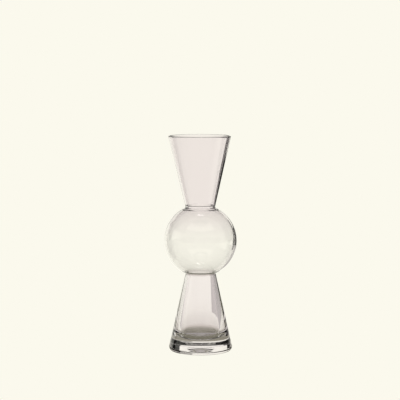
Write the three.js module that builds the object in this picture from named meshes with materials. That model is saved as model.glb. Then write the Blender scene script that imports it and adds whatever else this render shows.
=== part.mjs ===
// Hand blown glass vase: a funnel neck, a globe and a conical foot on a solid base.
// Units are millimetres, +Z is up, and the origin is the middle of the resting face.
// Every section is a solid of revolution about Z, and the sections meet face to face.

import * as THREE from 'three';

// Driving dimensions. A radius is to the outside of the glass unless its name says otherwise.
const HEIGHT = 220;
const RIM_RADIUS = 32;
const UPPER_WAIST_RADIUS = 14.9;
const GLOBE_RADIUS = 36.8;
const GLOBE_CENTRE_Z = 113.2;
const LOWER_WAIST_RADIUS = 15.2;
const FOOT_RADIUS = 32.2;
const FOOT_WIDEST_Z = 4;
const REST_RADIUS = 29.4;

// Glass thickness, measured level, and the radius of the bore where the wall thickens.
const LIP_WALL = 1.8;
const NECK_LOW_WALL = 1.4;
const GLOBE_WALL = 1.4;
const FOOT_TOP_BORE = 13;
const FOOT_LOW_BORE = 19.9;
const UPPER_THROAT_RADIUS = 12.6;
const UPPER_THROAT_RISE = 1.2;
const LOWER_THROAT_RADIUS = 12.8;
const LOWER_THROAT_RISE = -0.6;
const THROAT_PULL = 2.4;
const CREASE_REACH = 3;
const FLOOR_THICKNESS = 10.5;
const BOWL_FULLNESS = 0.7;
const PONTIL_RADIUS = 10;
const PONTIL_DEPTH = 1.6;

// Heights of the planes where one section ends and the next begins.
const SEAM_REACH = 30.5;
const NECK_START_Z = 150.5;
const GLOBE_TOP_Z = GLOBE_CENTRE_Z + SEAM_REACH;
const GLOBE_BOTTOM_Z = GLOBE_CENTRE_Z - SEAM_REACH;
const FOOT_TOP_Z = 75.8;
const BASE_TOP_Z = 22;

const TURN_STEPS = 64;
const GLOBE_STEPS = 12;
const SEAM_STEPS = 4;
const LIP_STEPS = 6;
const EDGE_STEPS = 4;
const BOWL_STEPS = 7;

const GLASS_TINT = 0xdcd3cf;

// Height at which a sphere about the globe's centre has the given level radius.
function sphereRise(sphereRadius, levelRadius) {
  return Math.sqrt(sphereRadius ** 2 - levelRadius ** 2);
}

const UPPER_WAIST_Z = GLOBE_CENTRE_Z + sphereRise(GLOBE_RADIUS, UPPER_WAIST_RADIUS);
const LOWER_WAIST_Z = GLOBE_CENTRE_Z - sphereRise(GLOBE_RADIUS, LOWER_WAIST_RADIUS);

// Outside radius of the funnel neck at a height: a straight cone.
function neckRadius(z) {
  const share = (z - UPPER_WAIST_Z) / (HEIGHT - UPPER_WAIST_Z);
  return THREE.MathUtils.lerp(UPPER_WAIST_RADIUS, RIM_RADIUS, share);
}

// Outside radius of the conical foot at a height: a straight cone.
function footRadius(z) {
  const share = (LOWER_WAIST_Z - z) / (LOWER_WAIST_Z - FOOT_WIDEST_Z);
  return THREE.MathUtils.lerp(LOWER_WAIST_RADIUS, FOOT_RADIUS, share);
}

function point(r, z) {
  return new THREE.Vector2(r, z);
}

// Points along an elliptical arc, from one angle to the other, angles in degrees from level.
function arc(centreR, centreZ, radiusR, radiusZ, fromAngle, toAngle, steps) {
  const from = THREE.MathUtils.degToRad(fromAngle);
  const to = THREE.MathUtils.degToRad(toAngle);
  const curve = new THREE.EllipseCurve(centreR, centreZ, radiusR, radiusZ, from, to, to < from);
  return curve.getPoints(steps);
}

// The point at a distance from start, in the direction of way.
function along(start, way, distance) {
  return start.clone().addScaledVector(way.clone().normalize(), distance);
}

// Points along the rounded crease between two straight stretches that meet at a corner.
function crease(corner, wayIn, wayOut) {
  const start = along(corner, wayIn, -CREASE_REACH);
  const end = along(corner, wayOut, CREASE_REACH);
  return new THREE.QuadraticBezierCurve(start, corner, end).getPoints(SEAM_STEPS);
}

// Points down the inside of a seam, which narrows smoothly to the throat and widens again.
function throat(entry, entryWay, narrowest, leave, leaveWay) {
  const down = point(0, -1);
  const narrowing = new THREE.CubicBezierCurve(
    entry, along(entry, entryWay, THROAT_PULL), along(narrowest, down, -THROAT_PULL), narrowest);
  const widening = new THREE.CubicBezierCurve(
    narrowest, along(narrowest, down, THROAT_PULL), along(leave, leaveWay, -THROAT_PULL), leave);
  return [...narrowing.getPoints(SEAM_STEPS), ...widening.getPoints(SEAM_STEPS).slice(1)];
}

// Direction of the foot's bore, going down.
function boreSlope() {
  return point(FOOT_LOW_BORE - FOOT_TOP_BORE, BASE_TOP_Z - FOOT_TOP_Z);
}

// Direction of a sphere's outline about the globe's centre, going up, at a point on it.
function sphereWay(p) {
  return point(GLOBE_CENTRE_Z - p.y, p.x);
}

// Points along the globe's outer or inner sphere, between the two seam planes, going up.
function globeArc(sphereRadius) {
  const reach = THREE.MathUtils.radToDeg(Math.asin(SEAM_REACH / sphereRadius));
  return arc(0, GLOBE_CENTRE_Z, sphereRadius, sphereRadius, -reach, reach, GLOBE_STEPS);
}

// A glass section turned about Z from its closed outline, which runs outside up, inside down.
function turned(name, outline) {
  const geometry = new THREE.LatheGeometry(outline, TURN_STEPS);
  geometry.rotateX(Math.PI / 2);
  const glass = new THREE.MeshStandardMaterial({ color: GLASS_TINT, roughness: 0.05, metalness: 0 });
  const mesh = new THREE.Mesh(geometry, glass);
  mesh.name = name;
  return mesh;
}

function closed(points) {
  return [...points, points[0].clone()];
}

// The funnel, whose wall thickens up to a half-round lip.
function neckFunnel() {
  const lipRadius = LIP_WALL / 2;
  const lipZ = HEIGHT - lipRadius;
  const lipCentre = neckRadius(lipZ) - lipRadius;
  return turned('neck_funnel', closed([
    point(neckRadius(NECK_START_Z), NECK_START_Z),
    ...arc(lipCentre, lipZ, lipRadius, lipRadius, 0, 180, LIP_STEPS),
    point(neckRadius(NECK_START_Z) - NECK_LOW_WALL, NECK_START_Z),
  ]));
}

// The fused ring between the funnel and the globe: a tight crease outside, a throat inside.
function upperSeam() {
  const neckOutside = point(neckRadius(NECK_START_Z), NECK_START_Z);
  const neckInside = point(neckOutside.x - NECK_LOW_WALL, NECK_START_Z);
  const lipZ = HEIGHT - LIP_WALL / 2;
  const boreWay = neckInside.clone().sub(point(neckRadius(lipZ) - LIP_WALL, lipZ));
  const globeOutside = point(sphereRise(GLOBE_RADIUS, SEAM_REACH), GLOBE_TOP_Z);
  const globeInside = point(sphereRise(GLOBE_RADIUS - GLOBE_WALL, SEAM_REACH), GLOBE_TOP_Z);
  const waist = point(UPPER_WAIST_RADIUS, UPPER_WAIST_Z);
  const neckWay = neckOutside.clone().sub(waist);
  const narrowest = point(UPPER_THROAT_RADIUS, UPPER_WAIST_Z + UPPER_THROAT_RISE);
  const globeWay = sphereWay(globeInside).negate();
  return turned('upper_seam', closed([
    globeOutside,
    ...crease(waist, sphereWay(waist), neckWay),
    neckOutside,
    ...throat(neckInside, boreWay, narrowest, globeInside, globeWay),
  ]));
}

// The hollow ball between the two seams.
function globe() {
  const outside = globeArc(GLOBE_RADIUS);
  const inside = globeArc(GLOBE_RADIUS - GLOBE_WALL).reverse();
  return turned('globe', closed([...outside, ...inside]));
}

// The fused ring between the globe and the foot.
function lowerSeam() {
  const globeOutside = point(sphereRise(GLOBE_RADIUS, SEAM_REACH), GLOBE_BOTTOM_Z);
  const globeInside = point(sphereRise(GLOBE_RADIUS - GLOBE_WALL, SEAM_REACH), GLOBE_BOTTOM_Z);
  const footOutside = point(footRadius(FOOT_TOP_Z), FOOT_TOP_Z);
  const footInside = point(FOOT_TOP_BORE, FOOT_TOP_Z);
  const waist = point(LOWER_WAIST_RADIUS, LOWER_WAIST_Z);
  const footWay = footOutside.clone().sub(waist);
  const narrowest = point(LOWER_THROAT_RADIUS, LOWER_WAIST_Z + LOWER_THROAT_RISE);
  const globeWay = sphereWay(globeInside).negate();
  return turned('lower_seam', closed([
    footOutside,
    ...crease(waist, footWay.clone().negate(), sphereWay(waist)),
    globeOutside,
    ...throat(globeInside, globeWay, narrowest, footInside, boreSlope()),
  ]));
}

// The conical wall of the foot, open above and below, which thickens downwards.
function footCone() {
  return turned('foot_cone', closed([
    point(footRadius(BASE_TOP_Z), BASE_TOP_Z),
    point(footRadius(FOOT_TOP_Z), FOOT_TOP_Z),
    point(FOOT_TOP_BORE, FOOT_TOP_Z),
    point(FOOT_LOW_BORE, BASE_TOP_Z),
  ]));
}

// The solid bottom: a round-bottomed bowl above, a flat ring and a pontil hollow below.
function base() {
  const bowlTop = point(FOOT_LOW_BORE, BASE_TOP_Z);
  const bowlBottom = point(0, FLOOR_THICKNESS);
  const bowl = new THREE.CubicBezierCurve(
    bowlTop, along(bowlTop, boreSlope(), BOWL_FULLNESS * (BASE_TOP_Z - FLOOR_THICKNESS)),
    point(BOWL_FULLNESS * FOOT_LOW_BORE, FLOOR_THICKNESS), bowlBottom);
  const edgeRadius = FOOT_RADIUS - REST_RADIUS;
  const pontilAngle = 2 * THREE.MathUtils.radToDeg(Math.atan(PONTIL_DEPTH / PONTIL_RADIUS));
  const pontilSphere = PONTIL_RADIUS / Math.sin(THREE.MathUtils.degToRad(pontilAngle));
  const pontilCentreZ = PONTIL_DEPTH - pontilSphere;
  return turned('base', [
    ...arc(0, pontilCentreZ, pontilSphere, pontilSphere, 90, 90 - pontilAngle, EDGE_STEPS)
      .map((p) => point(Math.max(p.x, 0), p.y)),
    ...arc(REST_RADIUS, FOOT_WIDEST_Z, edgeRadius, FOOT_WIDEST_Z, -90, 0, EDGE_STEPS),
    point(footRadius(BASE_TOP_Z), BASE_TOP_Z),
    ...bowl.getPoints(BOWL_STEPS),
  ]);
}

const vase = new THREE.Group();
vase.add(neckFunnel(), upperSeam(), globe(), lowerSeam(), footCone(), base());

export default vase;
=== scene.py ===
"""Hand blown glass vase: smooth glass sections that stand for the faceted CAD sections."""

import math

import bpy
import numpy as np
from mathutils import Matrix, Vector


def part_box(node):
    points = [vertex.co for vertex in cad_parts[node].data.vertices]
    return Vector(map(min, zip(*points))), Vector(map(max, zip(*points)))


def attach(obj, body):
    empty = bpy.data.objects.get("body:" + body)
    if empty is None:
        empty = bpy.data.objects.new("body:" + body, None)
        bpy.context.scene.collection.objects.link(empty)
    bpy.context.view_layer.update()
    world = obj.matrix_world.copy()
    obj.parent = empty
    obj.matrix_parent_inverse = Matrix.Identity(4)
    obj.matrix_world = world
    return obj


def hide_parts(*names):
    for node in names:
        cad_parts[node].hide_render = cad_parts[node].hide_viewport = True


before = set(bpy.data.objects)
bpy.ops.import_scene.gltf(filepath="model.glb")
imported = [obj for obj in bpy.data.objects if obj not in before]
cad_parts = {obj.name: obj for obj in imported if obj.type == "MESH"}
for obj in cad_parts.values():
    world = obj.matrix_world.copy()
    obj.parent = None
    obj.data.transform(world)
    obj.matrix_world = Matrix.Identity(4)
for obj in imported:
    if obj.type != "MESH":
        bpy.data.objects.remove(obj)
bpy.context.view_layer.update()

# ---------------------------------------------------------------- sizes, in metres

MM = 0.001
UPPER_WAIST_RADIUS = 14.9 * MM
LOWER_WAIST_RADIUS = 15.2 * MM
UPPER_THROAT_RADIUS = 12.6 * MM
LOWER_THROAT_RADIUS = 12.8 * MM
UPPER_THROAT_RISE = 1.2 * MM
LOWER_THROAT_RISE = -0.6 * MM
NECK_LOW_WALL = 1.4 * MM
LIP_WALL = 1.8 * MM
GLOBE_WALL = 1.4 * MM
FOOT_TOP_BORE = 13.0 * MM
FOOT_LOW_BORE = 19.9 * MM
FLOOR_THICKNESS = 10.5 * MM
BOWL_FULLNESS = 0.7
FOOT_WIDEST_Z = 4 * MM
EDGE_ROUNDING = 2.8 * MM
PONTIL_RADIUS = 10 * MM
PONTIL_DEPTH = 1.6 * MM
CREASE_REACH = 3.0 * MM
THROAT_PULL = 2.4 * MM
# The outline stops this far from the axis, at the two small discs that close the base.
TIP_RADIUS = 0.2 * MM

TURN_STEPS = 320
ROW_PITCH = 0.8 * MM

# How far the blown glass strays from a true body of revolution.
NECK_LEAN = 1.0 * MM
OVALNESS = 0.0015
WALL_DRIFT = 0.12 * MM
INSIDE_RIPPLE = 0.02 * MM

BODY = "root"


def node_extent(name):
    """Lowest and highest z of a CAD node, and its largest radius."""
    low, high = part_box(name)
    return low.z, high.z, (high.x - low.x) / 2


NECK_LOW, RIM_Z, RIM_RADIUS = node_extent("neck_funnel")
GLOBE_LOW, GLOBE_HIGH, GLOBE_RADIUS = node_extent("globe")
FOOT_LOW, FOOT_HIGH, _ = node_extent("foot_cone")
_, BASE_HIGH, FOOT_RADIUS = node_extent("base")
GLOBE_CENTRE_Z = (GLOBE_LOW + GLOBE_HIGH) / 2
SEAM_REACH = (GLOBE_HIGH - GLOBE_LOW) / 2
UPPER_WAIST_Z = GLOBE_CENTRE_Z + math.sqrt(GLOBE_RADIUS**2 - UPPER_WAIST_RADIUS**2)
LOWER_WAIST_Z = GLOBE_CENTRE_Z - math.sqrt(GLOBE_RADIUS**2 - LOWER_WAIST_RADIUS**2)
LIP_RADIUS = LIP_WALL / 2
LIP_Z = RIM_Z - LIP_RADIUS


# ---------------------------------------------------------------- outline, as (r, z) points

def neck_radius(z):
    share = (z - UPPER_WAIST_Z) / (LIP_Z - UPPER_WAIST_Z)
    return UPPER_WAIST_RADIUS + share * (RIM_RADIUS - UPPER_WAIST_RADIUS)


def foot_radius(z):
    share = (LOWER_WAIST_Z - z) / (LOWER_WAIST_Z - FOOT_WIDEST_Z)
    return LOWER_WAIST_RADIUS + share * (FOOT_RADIUS - LOWER_WAIST_RADIUS)


def evenly(curve, length):
    """Points along curve(0 to 1), about a row pitch apart."""
    steps = max(3, round(length / ROW_PITCH))
    return [curve(i / steps) for i in range(steps + 1)]


def line(start, end):
    start, end = np.array(start), np.array(end)
    return evenly(lambda t: start + t * (end - start), np.linalg.norm(end - start))


def arc(centre_z, centre_r, radius_r, radius_z, start, end):
    """An elliptical arc between two angles, in degrees from level."""
    start, end = math.radians(start), math.radians(end)

    def curve(t):
        angle = start + t * (end - start)
        return np.array([centre_r + radius_r * math.cos(angle),
                         centre_z + radius_z * math.sin(angle)])
    return evenly(curve, abs(end - start) * max(radius_r, radius_z))


def bend(a, b, c, d, finer=2.0):
    """A cubic curve from a to d that leaves towards b and arrives from c."""
    a, b, c, d = (np.array(p) for p in (a, b, c, d))

    def curve(t):
        s = 1 - t
        return s**3 * a + 3 * s * s * t * b + 3 * s * t * t * c + t**3 * d
    return evenly(curve, finer * np.linalg.norm(d - a))


def along(start, towards, length):
    """The point at a distance from start in a direction."""
    way = np.array(towards) / np.linalg.norm(towards)
    return np.array(start) + length * way


def sphere_point(radius, z):
    return np.array([math.sqrt(radius**2 - (z - GLOBE_CENTRE_Z)**2), z])


def sphere_way(radius, z):
    """Direction of the sphere's outline at a height, going up."""
    r, _ = sphere_point(radius, z)
    return np.array([-(z - GLOBE_CENTRE_Z), r])


NECK_SLOPE = np.array([neck_radius(RIM_Z) - neck_radius(NECK_LOW), RIM_Z - NECK_LOW])
FOOT_SLOPE = np.array([foot_radius(BASE_HIGH) - foot_radius(FOOT_HIGH), BASE_HIGH - FOOT_HIGH])
BORE_FLARE = NECK_SLOPE - (LIP_WALL - NECK_LOW_WALL, 0)
BORE_SLOPE = np.array([FOOT_LOW_BORE - FOOT_TOP_BORE, BASE_HIGH - FOOT_HIGH])


def throat(entry, entry_way, middle, leave, leave_way):
    """Inside of a seam: from entry, down through the narrowest point, to leave."""
    down = np.array([0, -1.0])
    first = bend(entry, along(entry, entry_way, THROAT_PULL),
                 along(middle, -down, THROAT_PULL), middle)
    second = bend(middle, along(middle, down, THROAT_PULL),
                  along(leave, -np.array(leave_way), THROAT_PULL), leave)
    return first + second[1:]


def sections():
    """Outside going up and inside going down of each section, bottom section first."""
    inner_globe = GLOBE_RADIUS - GLOBE_WALL
    pontil_sphere = (PONTIL_RADIUS**2 + PONTIL_DEPTH**2) / (2 * PONTIL_DEPTH)
    pontil_angle = math.degrees(math.asin(PONTIL_RADIUS / pontil_sphere))
    rest_radius = FOOT_RADIUS - EDGE_ROUNDING
    tip_angle = math.degrees(math.asin(TIP_RADIUS / pontil_sphere))
    reach = math.degrees(math.asin(SEAM_REACH / GLOBE_RADIUS))
    inner_reach = math.degrees(math.asin(SEAM_REACH / inner_globe))

    low_crease = np.array([LOWER_WAIST_RADIUS, LOWER_WAIST_Z])
    high_crease = np.array([UPPER_WAIST_RADIUS, UPPER_WAIST_Z])
    foot_top = np.array([foot_radius(FOOT_HIGH), FOOT_HIGH])
    neck_bottom = np.array([neck_radius(NECK_LOW), NECK_LOW])
    low_fillet = [along(low_crease, FOOT_SLOPE, CREASE_REACH),
                  along(low_crease, sphere_way(GLOBE_RADIUS, LOWER_WAIST_Z), CREASE_REACH)]
    high_fillet = [along(high_crease, -sphere_way(GLOBE_RADIUS, UPPER_WAIST_Z), CREASE_REACH),
                   along(high_crease, NECK_SLOPE, CREASE_REACH)]

    base_outside = (
        arc(PONTIL_DEPTH - pontil_sphere, 0, pontil_sphere, pontil_sphere,
            90 - tip_angle, 90 - pontil_angle)
        + line((PONTIL_RADIUS, 0), (rest_radius, 0))[1:]
        + arc(FOOT_WIDEST_Z, rest_radius, EDGE_ROUNDING, FOOT_WIDEST_Z, -90, 0)[1:]
        + line((FOOT_RADIUS, FOOT_WIDEST_Z), (foot_radius(BASE_HIGH), BASE_HIGH))[1:])
    bowl_top = np.array([FOOT_LOW_BORE, BASE_HIGH])
    tip = np.array([TIP_RADIUS, FLOOR_THICKNESS])
    base_inside = bend(
        bowl_top, along(bowl_top, BORE_SLOPE, BOWL_FULLNESS * (BASE_HIGH - FLOOR_THICKNESS)),
        tip + (BOWL_FULLNESS * FOOT_LOW_BORE, 0), tip, 1.0)
    foot_outside = line((foot_radius(FOOT_LOW), FOOT_LOW), foot_top)
    foot_inside = line((FOOT_TOP_BORE, FOOT_HIGH), bowl_top)
    lower_outside = (
        line(foot_top, low_fillet[0])
        + bend(low_fillet[0], low_crease, low_crease, low_fillet[1])[1:]
        + line(low_fillet[1], sphere_point(GLOBE_RADIUS, GLOBE_LOW))[1:])
    lower_inside = throat(
        sphere_point(inner_globe, GLOBE_LOW), -sphere_way(inner_globe, GLOBE_LOW),
        np.array([LOWER_THROAT_RADIUS, LOWER_WAIST_Z + LOWER_THROAT_RISE]),
        np.array([FOOT_TOP_BORE, FOOT_HIGH]), BORE_SLOPE)
    globe_outside = arc(GLOBE_CENTRE_Z, 0, GLOBE_RADIUS, GLOBE_RADIUS, -reach, reach)
    globe_inside = arc(GLOBE_CENTRE_Z, 0, inner_globe, inner_globe, inner_reach, -inner_reach)
    upper_outside = (
        line(sphere_point(GLOBE_RADIUS, GLOBE_HIGH), high_fillet[0])
        + bend(high_fillet[0], high_crease, high_crease, high_fillet[1])[1:]
        + line(high_fillet[1], neck_bottom)[1:])
    upper_inside = throat(
        neck_bottom - (NECK_LOW_WALL, 0), -BORE_FLARE,
        np.array([UPPER_THROAT_RADIUS, UPPER_WAIST_Z + UPPER_THROAT_RISE]),
        sphere_point(inner_globe, GLOBE_HIGH), -sphere_way(inner_globe, GLOBE_HIGH))
    lip_centre = RIM_RADIUS - LIP_RADIUS
    neck_outside = line(neck_bottom, (RIM_RADIUS, LIP_Z))
    neck_inside = (
        arc(LIP_Z, lip_centre, LIP_RADIUS, LIP_RADIUS, 0, 180)
        + line((lip_centre - LIP_RADIUS, LIP_Z), neck_bottom - (NECK_LOW_WALL, 0))[1:])
    return [
        ("base", base_outside, base_inside),
        ("foot_cone", foot_outside, foot_inside),
        ("lower_seam", lower_outside, lower_inside),
        ("globe", globe_outside, globe_inside),
        ("upper_seam", upper_outside, upper_inside),
        ("neck_funnel", neck_outside, neck_inside),
    ]


# ---------------------------------------------------------------- hand-blown shape

def swell(angle, z, lobes, climb, phase):
    """A slow wave round the vase that turns as it climbs."""
    return np.cos(lobes * angle + climb * z / RIM_Z + phase)


def hand_blown(points, inside):
    """Turns outline points into a grid of places, slightly uneven as blown glass is."""
    r = np.array([p[0] for p in points])[:, None]
    z = np.array([p[1] for p in points])[:, None]
    angle = np.linspace(0, 2 * math.pi, TURN_STEPS, endpoint=False)[None, :]
    inside = np.array(inside, float)[:, None]
    fade = np.clip(r / (6 * MM), 0, 1)
    oval = 1 + OVALNESS * swell(angle, z, 2, 5, 0.6) * fade
    drift = WALL_DRIFT * swell(angle, z, 1, 7, 2.1)
    ripple = INSIDE_RIPPLE * (swell(angle, z, 9, 3, 0.4) + swell(angle, z, 14, -4, 1.9)
                              + swell(angle, z, 5, 11, 0.2))
    radius = r * oval + inside * fade * (drift + ripple)
    lean = NECK_LEAN * np.clip((z - GLOBE_CENTRE_Z) / (RIM_Z - GLOBE_CENTRE_Z), 0, 1)
    return np.stack([radius * np.cos(angle) - lean, radius * np.sin(angle),
                     z + 0 * angle], axis=-1)


def grid_normals(grid):
    """Outward normals of the whole closed skin, so that they run on across the sections."""
    along_rows = np.gradient(grid, axis=0)
    around = np.roll(grid, -1, axis=1) - np.roll(grid, 1, axis=1)
    normals = np.cross(around, along_rows)
    return normals / np.linalg.norm(normals, axis=-1, keepdims=True)


def whole_skin():
    """Grid rows for the whole vase, and where each section's outside and inside lie in it."""
    parts = sections()
    points, inside, spans = [], [], {}
    for name, outer, _ in parts:
        start = max(len(points) - 1, 0)
        points += outer if not points else outer[1:]
        spans[name] = [(start, len(points) - 1)]
    inside += [0] * len(points)
    for name, _, inner in reversed(parts):
        start = len(points) - 1
        points += inner[1:]
        spans[name].append((start, len(points) - 1))
    inside += [1] * (len(points) - len(inside))
    return hand_blown(points, inside), spans


def ring_band(low, high, columns):
    """Quads between two rings, whose first vertices are low and high."""
    column = np.arange(columns)
    after = (column + 1) % columns
    return np.stack([low + column, low + after, high + after, high + column], axis=-1)


def glass_piece(name, node, skin, normals, spans, materials):
    """One closed glass section: its two skins, and the hidden faces that its neighbours fuse to."""
    columns = skin.shape[1]
    outside, inside = spans[node]
    rows = sorted(set(range(outside[0], outside[1] + 1)) | set(range(inside[0], inside[1] + 1)))
    place = {row: i * columns for i, row in enumerate(rows)}
    skins = [(row, row + 1) for low, high in (outside, inside) for row in range(low, high)]
    fused = []
    if outside[1] != inside[0]:
        fused.append((outside[1], inside[0]))
    if outside[0] != 0:
        fused.append((inside[1], outside[0]))

    faces, corner_normals = [], []
    for low, high in skins:
        faces += ring_band(place[low], place[high], columns).tolist()
        after = (np.arange(columns) + 1) % columns
        corners = [normals[low], normals[low][after], normals[high][after], normals[high]]
        corner_normals.append(np.stack(corners, axis=1).reshape(-1, 3))
    tips = []
    if outside[0] == 0:
        tips = [list(range(place[0] + columns - 1, place[0] - 1, -1)),
                list(range(place[inside[1]], place[inside[1]] + columns))]
        for tip, way in zip(tips, (-1.0, 1.0)):
            faces.append(tip)
            corner_normals.append(np.tile((0, 0, way), (columns, 1)))
    glass_faces = len(faces)
    for a, b in fused:
        faces += ring_band(place[a], place[b], columns).tolist()
        way = 1.0 if a == outside[1] else -1.0
        corner_normals.append(np.tile((0, 0, way), (4 * columns, 1)))

    mesh = bpy.data.meshes.new(name)
    mesh.from_pydata(skin[rows].reshape(-1, 3).tolist(), [], faces)
    for material in materials:
        mesh.materials.append(material)
    kinds = np.zeros(len(faces), np.int32)
    kinds[glass_faces:] = 1
    mesh.polygons.foreach_set("material_index", kinds)
    mesh.polygons.foreach_set("use_smooth", np.ones(len(faces), bool))
    mesh.normals_split_custom_set(np.concatenate(corner_normals).tolist())
    piece = bpy.data.objects.new(name, mesh)
    bpy.context.scene.collection.objects.link(piece)
    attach(piece, BODY)
    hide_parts(node)
    return piece


# ---------------------------------------------------------------- glass

GLASS_IOR = 1.5
# Share of the light that one crossing of the surface lets through, in red, green and blue.
NECK_TINT = (0.940, 0.905, 0.930)
GLOBE_TINT = (0.975, 0.972, 0.965)
FOOT_TINT = (0.982, 0.955, 0.980)
# The seam colour is painted shade: it darkens the tint to a dark line along the lower seam, in
# place of the shade that the seam's refraction gives.
SEAM_PAINTED_SHADE = (0.70, 0.65, 0.67)
SEAM_PAINTED_SHADE_REACH = 1.0 * MM
# The tint drifts between this share of itself and all of it.
FAINTEST_TINT = 0.75
ROUGHEST = 0.012
CORD_DEPTH = 0.4 * MM
CORD_STRENGTH = 0.06
# Noise features per metre, and how much longer up the vase than round it the cords are drawn.
TINT_NOISE = 22.0
GLOSS_NOISE = 60.0
CORD_NOISE = 90.0
CORD_STRETCH = (1, 1, 0.18)


def add_node(tree, kind, **values):
    node = tree.nodes.new(kind)
    for name, value in values.items():
        if name in node.inputs:
            node.inputs[name].default_value = value
        else:
            setattr(node, name, value)
    return node


def colour_ramp(tree, stops):
    """A ramp through (place, colour) stops, the first at 0 and the last at 1."""
    ramp = add_node(tree, "ShaderNodeValToRGB")
    elements = ramp.color_ramp.elements
    for place, colour in stops[1:-1]:
        elements.new(place).color = (*colour, 1)
    elements[0].color = (*stops[0][1], 1)
    elements[-1].color = (*stops[-1][1], 1)
    return ramp


def noise_of(tree, scale, detail=3.0, stretch=(1, 1, 1)):
    """Noise in metres of the object's own space, stretched along the axes."""
    place = add_node(tree, "ShaderNodeTexCoord")
    mapping = add_node(tree, "ShaderNodeMapping", Scale=stretch)
    texture = add_node(tree, "ShaderNodeTexNoise", Scale=scale, Detail=detail)
    tree.links.new(place.outputs["Object"], mapping.inputs["Vector"])
    tree.links.new(mapping.outputs["Vector"], texture.inputs["Vector"])
    return texture.outputs["Fac"]


def tint_and_seam_shade_by_height(tree):
    """The smoke tint: faint in the thin globe, with painted shade as a dark band of much denser
    tint along the lower seam.
    """
    place = add_node(tree, "ShaderNodeTexCoord")
    split = add_node(tree, "ShaderNodeSeparateXYZ")
    share = add_node(tree, "ShaderNodeMath", operation="DIVIDE")
    share.inputs[1].default_value = RIM_Z
    seam, reach = LOWER_WAIST_Z / RIM_Z, SEAM_PAINTED_SHADE_REACH / RIM_Z
    # The stops round the lower seam paint shade: a dark band of tint along the seam.
    ramp = colour_ramp(tree, [
        (0.0, FOOT_TINT),
        (seam - 2 * reach, FOOT_TINT),
        (seam - reach, SEAM_PAINTED_SHADE),
        (seam, SEAM_PAINTED_SHADE),
        (seam + reach, GLOBE_TINT),
        (GLOBE_CENTRE_Z / RIM_Z, GLOBE_TINT),
        (GLOBE_HIGH / RIM_Z, NECK_TINT),
        (1.0, NECK_TINT),
    ])
    tree.links.new(place.outputs["Object"], split.inputs["Vector"])
    tree.links.new(split.outputs["Z"], share.inputs[0])
    tree.links.new(share.outputs["Value"], ramp.inputs["Fac"])
    return ramp.outputs["Color"]


def blown_glass(name, opacity=1.0):
    """Clear glass with a faint smoke tint that drifts, a painted dark line of shade at the lower
    seam, fine cords and a hand-polished gloss.
    """
    material = bpy.data.materials.new(name)
    material.use_nodes = True
    tree = material.node_tree
    tree.nodes.clear()
    output = add_node(tree, "ShaderNodeOutputMaterial")
    shader = add_node(tree, "ShaderNodeBsdfPrincipled", IOR=GLASS_IOR, Alpha=opacity)
    shader.inputs["Transmission Weight"].default_value = 1.0
    tree.links.new(shader.outputs["BSDF"], output.inputs["Surface"])

    amount = add_node(tree, "ShaderNodeMapRange")
    amount.inputs["To Min"].default_value = FAINTEST_TINT
    amount.inputs["To Max"].default_value = 1.0
    tree.links.new(noise_of(tree, TINT_NOISE), amount.inputs["Value"])
    # This mix carries both the smoke tint and the painted shade at the lower seam into the colour.
    tint = add_node(tree, "ShaderNodeMix", data_type="RGBA")
    tint.inputs["A"].default_value = (1, 1, 1, 1)
    tree.links.new(amount.outputs["Result"], tint.inputs["Factor"])
    tree.links.new(tint_and_seam_shade_by_height(tree), tint.inputs["B"])
    tree.links.new(tint.outputs["Result"], shader.inputs["Base Color"])

    gloss = add_node(tree, "ShaderNodeMapRange")
    gloss.inputs["To Min"].default_value = 0.0
    gloss.inputs["To Max"].default_value = ROUGHEST
    tree.links.new(noise_of(tree, GLOSS_NOISE), gloss.inputs["Value"])
    tree.links.new(gloss.outputs["Result"], shader.inputs["Roughness"])

    cords = add_node(tree, "ShaderNodeBump", Strength=CORD_STRENGTH, Distance=CORD_DEPTH)
    height = noise_of(tree, CORD_NOISE, detail=2.0, stretch=CORD_STRETCH)
    tree.links.new(height, cords.inputs["Height"])
    tree.links.new(cords.outputs["Normal"], shader.inputs["Normal"])
    return material



# Each piece, the CAD node that it stands for, and its material slot.
PIECES = [
    ("blown_neck_funnel", "neck_funnel", "blown_glass"),
    ("fused_upper_seam", "upper_seam", "seam_glass"),
    ("blown_globe", "globe", "blown_glass"),
    ("fused_lower_seam", "lower_seam", "seam_glass"),
    ("blown_foot_cone", "foot_cone", "blown_glass"),
    ("solid_base", "base", "base_glass"),
]


def vase():
    skin, spans = whole_skin()
    normals = grid_normals(skin)
    materials = [blown_glass("smoke_tinted_glass_with_seam_shade"), blown_glass("fused_joint", opacity=0.0)]
    for name, node, slot in PIECES:
        glass_piece(name, node, skin, normals, spans, materials)


# ---------------------------------------------------------------- studio

CREAM = (0.965, 0.947, 0.847)
WHITE = (1.0, 0.985, 0.955)
DUSK = (0.96, 0.90, 0.85)
FLOOR_RADIUS = 3.0
FLOOR_GAP = 0.6 * MM
ROOM_RADIUS = 1.9
# The patch hangs just inside the ceiling panel that it lightens.
PATCH_RADIUS = ROOM_RADIUS - 0.05
EYE_HEIGHT = 0.11
PANEL_STEPS = 16
DISC_STEPS = 64

STRIP_HALF_WIDTH = 0.24
STRIP_DEPTH = 0.15
STRIP_BACK = 0.04
STRIP_HEIGHT = 1.85
STRIP_STRENGTH = 7.0

# The floor near the foot as the glass sees it: colours by share of the shade's reach.
SHADE_DISC_RADIUS = 0.22
SHADE_REACH = 0.2
SHADE_OFFSET_Y = 0.002
SHADE = [
    (0.0, (0.13, 0.12, 0.085)),
    (0.16, (0.19, 0.18, 0.13)),
    (0.24, (0.27, 0.255, 0.20)),
    (0.34, (0.60, 0.56, 0.49)),
    (0.5, (0.76, 0.73, 0.65)),
    (0.75, (0.92, 0.90, 0.80)),
    (1.0, CREAM),
]

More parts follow.
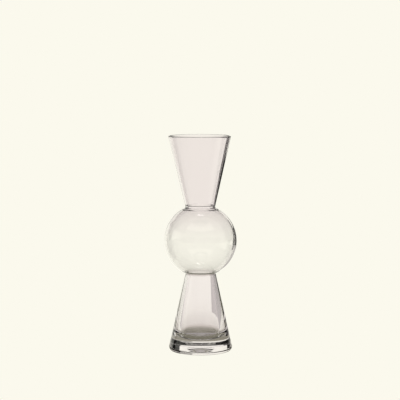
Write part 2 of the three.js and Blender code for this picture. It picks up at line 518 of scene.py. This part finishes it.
# Cards lying on the floor: bearings in degrees, reach from the vase in metres, and strength.
FLOOR_CARDS = [
    ("right_floor_edge", (10, 36), (0.6, 1.9), 0.05),
    ("right_floor_side", (36, 60), (0.6, 1.9), 0.1),
    ("right_floor_near", (15, 75), (0.15, 0.6), 0.55),
    ("left_floor", (-82, -57), (0.15, 1.9), 0.6),
]

# Panels of the room: bearings and elevations in degrees, colour and strength.
ROOM_PANELS = [
    ("left_flag", (-73, -46), (4, 12), DUSK, 0.0),
    ("left_flag_high", (-73, -37), (12, 20.5), DUSK, 0.0),
    ("left_low", (-73, -57), (-4, 4), DUSK, 0.15),
    ("right_flag", (30, 66), (4, 20.5), DUSK, 0.0),
    ("right_edge", (10, 36), (-4, 4), DUSK, 0.05),
    ("right_side_low", (36, 66), (-4, 4), DUSK, 0.1),
    ("backdrop_low", (-46, 30), (8.6, 12), DUSK, 0.8),
    ("right_wall", (66, 95), (-4, 20.5), DUSK, 0.2),
    ("right_rear", (95, 130), (-4, 20.5), DUSK, 0.6),
    ("camera_side", (130, 200), (-4, 20.5), DUSK, 0.75),
    ("left_rear", (200, 250), (-4, 20.5), DUSK, 0.6),
    ("back_ceiling", (-90, 90), (20.5, 60), DUSK, 0.05),
    ("top_ceiling", (-90, 90), (60, 90), DUSK, 0.22),
    ("side_ceiling", (90, 125), (20.5, 60), DUSK, 0.4),
    ("left_side_ceiling", (-125, -90), (20.5, 60), DUSK, 0.35),
    ("front_low", (125, 235), (20.5, 35), DUSK, 0.6),
    ("front_light", (125, 235), (35, 60), CREAM, 1.15),
    ("front_top", (90, 270), (60, 90), CREAM, 0.7),
]


def glow(name, colour, strength=1.0):
    material = bpy.data.materials.new(name)
    material.use_nodes = True
    tree = material.node_tree
    tree.nodes.clear()
    output = add_node(tree, "ShaderNodeOutputMaterial")
    light = add_node(tree, "ShaderNodeEmission", Color=(*colour, 1), Strength=strength)
    tree.links.new(light.outputs["Emission"], output.inputs["Surface"])
    return material


def contact_glow(name):
    """The floor as the glass sees it: in its own shade close to the foot, fading to cream."""
    material = glow(name, CREAM)
    tree = material.node_tree
    place = add_node(tree, "ShaderNodeTexCoord")
    distance = add_node(tree, "ShaderNodeVectorMath", operation="LENGTH")
    scaled = add_node(tree, "ShaderNodeMath", operation="DIVIDE")
    scaled.inputs[1].default_value = SHADE_REACH
    ramp = colour_ramp(tree, SHADE)
    light = tree.nodes["Emission"]
    tree.links.new(place.outputs["Object"], distance.inputs[0])
    tree.links.new(distance.outputs["Value"], scaled.inputs[0])
    tree.links.new(scaled.outputs["Value"], ramp.inputs["Fac"])
    tree.links.new(ramp.outputs["Color"], light.inputs["Color"])
    return material


def stage_mesh(name, verts, faces, material, seen=True):
    mesh = bpy.data.meshes.new(name)
    mesh.from_pydata(verts, [], faces)
    mesh.materials.append(material)
    panel = bpy.data.objects.new(name, mesh)
    bpy.context.scene.collection.objects.link(panel)
    panel.visible_camera = seen
    return panel


def room_panel(name, bearings, elevations, colour, strength, radius=ROOM_RADIUS):
    """A panel of the room round the vase. Bearings turn from straight behind it towards +X."""
    steps = PANEL_STEPS
    verts = []
    for j in range(steps + 1):
        up = math.radians(elevations[0] + (elevations[1] - elevations[0]) * j / steps)
        for i in range(steps + 1):
            turn = math.radians(bearings[0] + (bearings[1] - bearings[0]) * i / steps)
            verts.append((radius * math.cos(up) * math.sin(turn),
                          radius * math.cos(up) * math.cos(turn),
                          EYE_HEIGHT + radius * math.sin(up)))
    row = steps + 1
    faces = [(j * row + i, j * row + i + 1, (j + 1) * row + i + 1, (j + 1) * row + i)
             for j in range(steps) for i in range(steps)]
    return stage_mesh(name, verts, faces, glow(name, colour, strength), seen=False)


def floor_disc(name, radius, z, material, seen):
    turns = [2 * math.pi * i / DISC_STEPS for i in range(DISC_STEPS)]
    verts = [(radius * math.cos(turn), radius * math.sin(turn), z) for turn in turns]
    return stage_mesh(name, verts, [list(range(DISC_STEPS))], material, seen)


def floor_card(name, bearings, reach, colour, strength):
    """A card lying on the floor, as a sector of a ring round the vase, that only glass sees."""
    steps = PANEL_STEPS
    verts = []
    for radius in reach:
        for i in range(steps + 1):
            turn = math.radians(bearings[0] + (bearings[1] - bearings[0]) * i / steps)
            verts.append((radius * math.sin(turn), radius * math.cos(turn), -FLOOR_GAP / 3))
    faces = [(i, i + 1, steps + 2 + i, steps + 1 + i) for i in range(steps)]
    return stage_mesh(name, verts, faces, glow(name, colour, strength), seen=False)


def studio():
    """Cream floor and backdrop, inside a dim room with dark flags that only the glass sees."""
    world = bpy.data.worlds.new("studio")
    bpy.context.scene.world = world
    world.use_nodes = True
    backdrop = world.node_tree.nodes["Background"]
    backdrop.inputs["Color"].default_value = (*CREAM, 1)
    floor_disc("floor", FLOOR_RADIUS, -FLOOR_GAP, glow("floor_cream", CREAM), True)
    shade = floor_disc(
        "floor_shade", SHADE_DISC_RADIUS, -FLOOR_GAP / 2, contact_glow("floor_shade"), False)
    shade.location.y = SHADE_OFFSET_Y
    for name, bearings, reach, strength in FLOOR_CARDS:
        floor_card(name, bearings, reach, DUSK, strength)
    for name, bearings, elevations, colour, strength in ROOM_PANELS:
        room_panel(name, bearings, elevations, colour, strength)
    room_panel("back_ceiling_patch", (-12, 12), (35, 60), DUSK, 0.45, PATCH_RADIUS)
    overhead_strip()


def overhead_strip():
    """A small bright strip over the vase, a little behind it."""
    near, far = STRIP_BACK, STRIP_BACK + STRIP_DEPTH
    corners = [(-STRIP_HALF_WIDTH, near, STRIP_HEIGHT), (STRIP_HALF_WIDTH, near, STRIP_HEIGHT),
               (STRIP_HALF_WIDTH, far, STRIP_HEIGHT), (-STRIP_HALF_WIDTH, far, STRIP_HEIGHT)]
    light = glow("overhead_strip", WHITE, STRIP_STRENGTH)
    stage_mesh("overhead_strip", corners, [(0, 1, 2, 3)], light, seen=False)


# ---------------------------------------------------------------- camera and light paths

CAMERA_PLACE = (-0.0006, -1.463, 0.2924)
CAMERA_TILT = 5.386
FOCAL_LENGTH = 129.9
SENSOR_WIDTH = 36
CLIP_END = 50
LIGHT_BOUNCES = 8
CLEAR_BOUNCES = 32


def camera():
    """The photograph's view: a long lens, a little above the vase and looking slightly down."""
    lens = bpy.data.cameras.new("camera")
    lens.lens = FOCAL_LENGTH
    lens.sensor_width = SENSOR_WIDTH
    lens.clip_end = CLIP_END
    view = bpy.data.objects.new("camera", lens)
    bpy.context.scene.collection.objects.link(view)
    view.location = CAMERA_PLACE
    view.rotation_euler = (math.radians(90 - CAMERA_TILT), 0, 0)
    bpy.context.scene.camera = view


def light_paths():
    """Enough bounces to cross every wall. The longest paths, in the solid base, go dark."""
    cycles = bpy.context.scene.cycles
    cycles.max_bounces = LIGHT_BOUNCES
    cycles.transmission_bounces = LIGHT_BOUNCES
    cycles.glossy_bounces = LIGHT_BOUNCES
    cycles.transparent_max_bounces = CLEAR_BOUNCES
    bpy.context.scene.view_settings.view_transform = "Standard"


vase()
studio()
camera()
light_paths()
